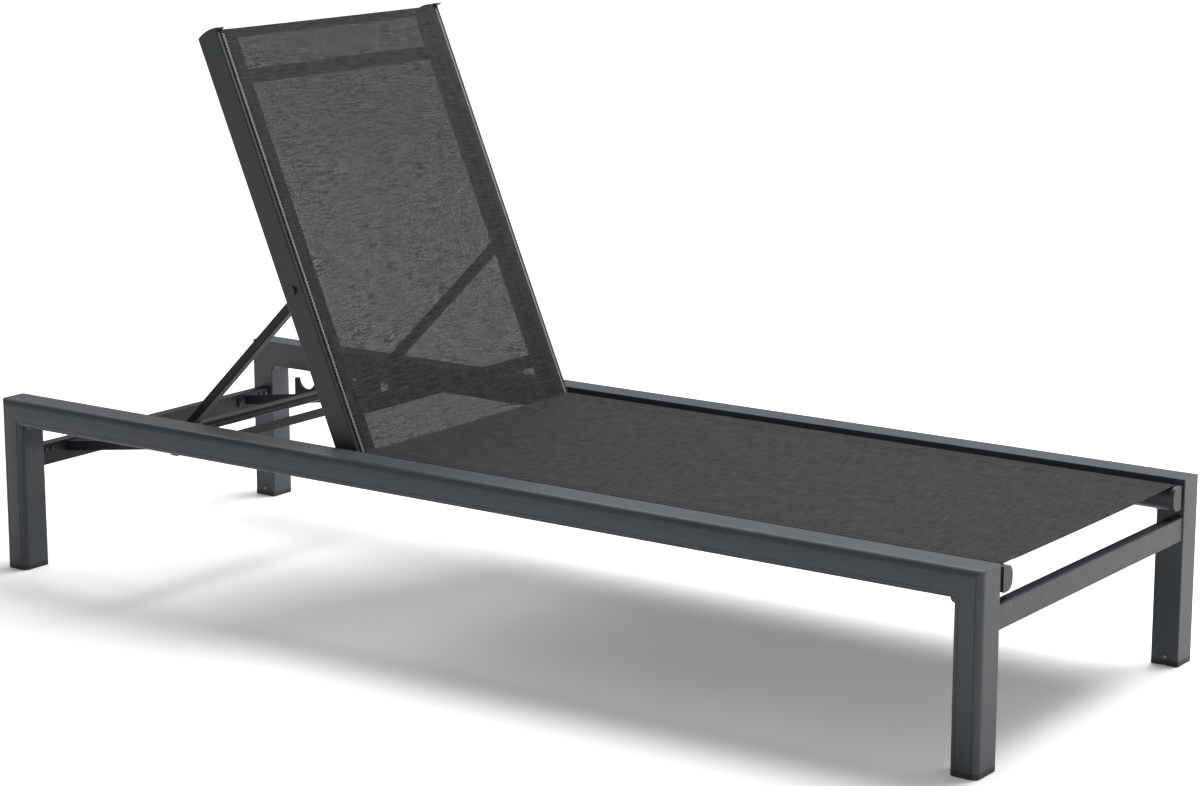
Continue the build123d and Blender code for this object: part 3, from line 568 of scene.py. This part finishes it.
def make_thread(name, shade):
    """Twisted sewing thread."""
    material, tree, shader = new_material(name)
    where = add_node(tree, "ShaderNodeTexCoord").outputs["Object"]
    twist = add_node(tree, "ShaderNodeTexWave", {"Vector": where, "Scale": 900.0, "Distortion": 1.5})
    colour = add_node(tree, "ShaderNodeMix", {"Factor": twist.outputs["Fac"]}, data_type="RGBA")
    colour.inputs["A"].default_value = (shade * 0.7, shade * 0.7, shade * 0.72, 1.0)
    colour.inputs["B"].default_value = (shade * 1.2, shade * 1.2, shade * 1.22, 1.0)
    bump = add_node(tree, "ShaderNodeBump", {
        "Height": twist.outputs["Fac"], "Strength": 0.4, "Distance": 0.0001})
    tree.links.new(colour.outputs["Result"], shader.inputs["Base Color"])
    tree.links.new(bump.outputs["Normal"], shader.inputs["Normal"])
    shader.inputs["Roughness"].default_value = 0.55
    return material


dark_thread = make_thread("dark_thread", 0.004)
pale_thread = make_thread("pale_thread", 0.30)


def lay_stitch(bm, start, end, width, height):
    """One stitch: a flattened bead of thread between two points of the cloth."""
    run = end - start
    turn = run.to_track_quat("X", "Z").to_matrix().to_4x4()
    size = Matrix.Diagonal((run.length / 2, width / 2, height / 2, 1.0))
    bmesh.ops.create_icosphere(
        bm, subdivisions=1, radius=1.0, matrix=Matrix.Translation((start + end) / 2) @ turn @ size)


def add_seams(name, shape, place, rows):
    """Straight lockstitch rows; each row is two points of the cloth's plan."""
    bm = bmesh.new()
    pitch, stitch, width, thickness = 0.0044, 0.0034, 0.0017, 0.0007
    for first, last in rows:
        first, last = Vector((*first, 0.0)), Vector((*last, 0.0))
        run = (last - first).normalized()
        for index in range(int((last - first).length / pitch)):
            start = first + run * (index * pitch)
            end = start + run * stitch
            start.z = shape(start.x, start.y) + 0.00012
            end.z = shape(end.x, end.y) + 0.00012
            lay_stitch(bm, start, end, width, thickness)
    bmesh.ops.transform(bm, matrix=place, verts=bm.verts)
    return smooth(add_object(name, bm, dark_thread), 80.0)


def add_zigzag(name, shape, place, length, thread):
    """Zigzag that closes the hem beside the track."""
    bm = bmesh.new()
    pitch, width, thickness = 0.0062, 0.0019, 0.0008
    inner, outer = sling_track - 0.0072, sling_track - 0.0012
    for side in (-1, 1):
        points = []
        for index in range(int((length - 0.006) / (pitch / 2))):
            across = side * (inner if index % 2 else outer)
            along = 0.003 + index * pitch / 2
            points.append(Vector((across, along, shape(across, along) + 0.0002)))
        for start, end in zip(points, points[1:]):
            lay_stitch(bm, start, end, width, thickness)
    bmesh.ops.transform(bm, matrix=place, verts=bm.verts)
    return smooth(add_object(name, bm, thread), 80.0)


def hem_rows(length):
    """Rows along both hems: a pair near the rail's edge and one at the hem's inner edge."""
    return [((side * across, 0.003), (side * across, length - 0.003))
            for side in (-1, 1) for across in (0.2768, 0.2722, hem_inner + 0.0024)]


seat_seams = add_seams("seat_seams", seat_shape, seat_place, hem_rows(seat_length) + [
    ((-hem_inner, seat_length - seat_foot_hem + 0.002), (hem_inner, seat_length - seat_foot_hem + 0.002)),
    ((-hem_inner, seat_foot_hem - 0.002), (hem_inner, seat_foot_hem - 0.002))])
seat_zigzag = add_zigzag("seat_zigzag", seat_shape, seat_place, seat_length, dark_thread)
for piece in (seat_textile, *seat_hems, seat_seams, seat_zigzag):
    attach(piece, "base")
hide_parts("seat_sling")

# ---------------------------------------------------------------- back rails and spreaders
# The backrest frame: two sling rails pinned to the side frames, two welded round spreaders,
# moulded end caps, and domed top caps with a tongue over the track.
back_coat = make_coat("back_coat", (0.012, 0.016, 0.020), (0.052, 0.060, 0.068))
paint(back_coat, *both("back_rail"), "back_crossbar_upper", "back_crossbar_lower")
paint(keder_cord, *both("back_keder"))
paint(cap_black, *both("back_rail_top_cap", "back_rail_hinge_cap"), "hinge_bushes", "prop_washers")

# ---------------------------------------------------------------- back sling
# The same mesh, with a doubled hem along the top as well as along the rails, and a pale zigzag.
# Its lower edge reaches past the seat sling's level, so that no light shows between the two.
hinge = Vector(next(joint for joint in frame["joints"] if joint["name"] == "back_recline")["pos_m"])
recline = math.radians(next(j for j in frame["joints"] if j["name"] == "back_recline")["range_deg"][1])
back_dir = Vector((-math.cos(recline), 0.0, math.sin(recline)))
front_dir = Vector((math.sin(recline), 0.0, math.cos(recline)))
back_overlap = 0.004         # cloth below the lower edge of its CAD solid
back_points = [(v.co - hinge) for v in nodes["back_sling"].data.vertices]
back_start = min(point.dot(back_dir) for point in back_points) - back_overlap
back_end = max(point.dot(back_dir) for point in back_points)
back_level = min(point.dot(front_dir) for point in back_points)
back_length = back_end - back_start
back_origin = hinge + back_dir * back_start + front_dir * back_level
across_dir = back_dir.cross(front_dir)
back_place = Matrix.Translation(back_origin) @ Matrix((
    (across_dir.x, back_dir.x, front_dir.x, 0.0), (across_dir.y, back_dir.y, front_dir.y, 0.0),
    (across_dir.z, back_dir.z, front_dir.z, 0.0), (0.0, 0.0, 0.0, 1.0)))
back_shape = sling_height(back_length, 0.0025)
back_textile = add_cloth(
    "back_textile", (-sling_edge, sling_edge), 0.0, back_length, back_shape, back_place, textile_open,
    edge_cuts)
back_top_hem = 0.016
back_hems = add_hems("back", back_shape, back_length, back_place, (
    ("top", back_length - back_top_hem, back_length - 0.0002),))
back_seams = add_seams("back_seams", back_shape, back_place, hem_rows(back_length) + [
    ((-hem_inner, back_length - back_top_hem + 0.002), (hem_inner, back_length - back_top_hem + 0.002))])
back_zigzag = add_zigzag("back_zigzag", back_shape, back_place, back_length, pale_thread)
for piece in (back_textile, *back_hems, back_seams, back_zigzag):
    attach(piece, "backrest")
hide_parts("back_sling")

# ---------------------------------------------------------------- hinge
# Headed pins of blackened steel through the side rails and the back rails, with plastic spacers
# between them and plastic bushes in the back rails.
paint(blackened_steel, "hinge_pins")
paint(back_coat, "prop_pivot_bolts")
paint(cap_black, "hinge_spacers")
add_sockets("hinge_pin_sockets", "base", head_spots("hinge_pins", "y"), 0.0036)

# ---------------------------------------------------------------- prop
# Two square-tube arms pivoted on the back rails and welded to the round rod that drops into a
# pair of notches, with plastic end caps.
# The arms and rod take the darker copy of the coat, painted shade.
paint(painted_shade_coat, *both("prop_arm"), "prop_rod")
paint(cap_black, *both("prop_arm_cap"), "prop_rod_caps")

# ---------------------------------------------------------------- notch plates
# Flat bars cut with four scalloped notches each, bolted to the head crossbar and carried by a
# tie bar that runs between hangers screwed to the side rails.
# The plates, hangers and tie bar take the darker copy of the coat, painted shade.
paint(painted_shade_coat, *both("notch_plate", "tie_bar_hanger"), "notch_tie_bar")
paint(blackened_steel, "tie_bar_screws")
add_sockets("tie_bar_screw_sockets", "base", head_spots("tie_bar_screws", "y"), 0.0018)
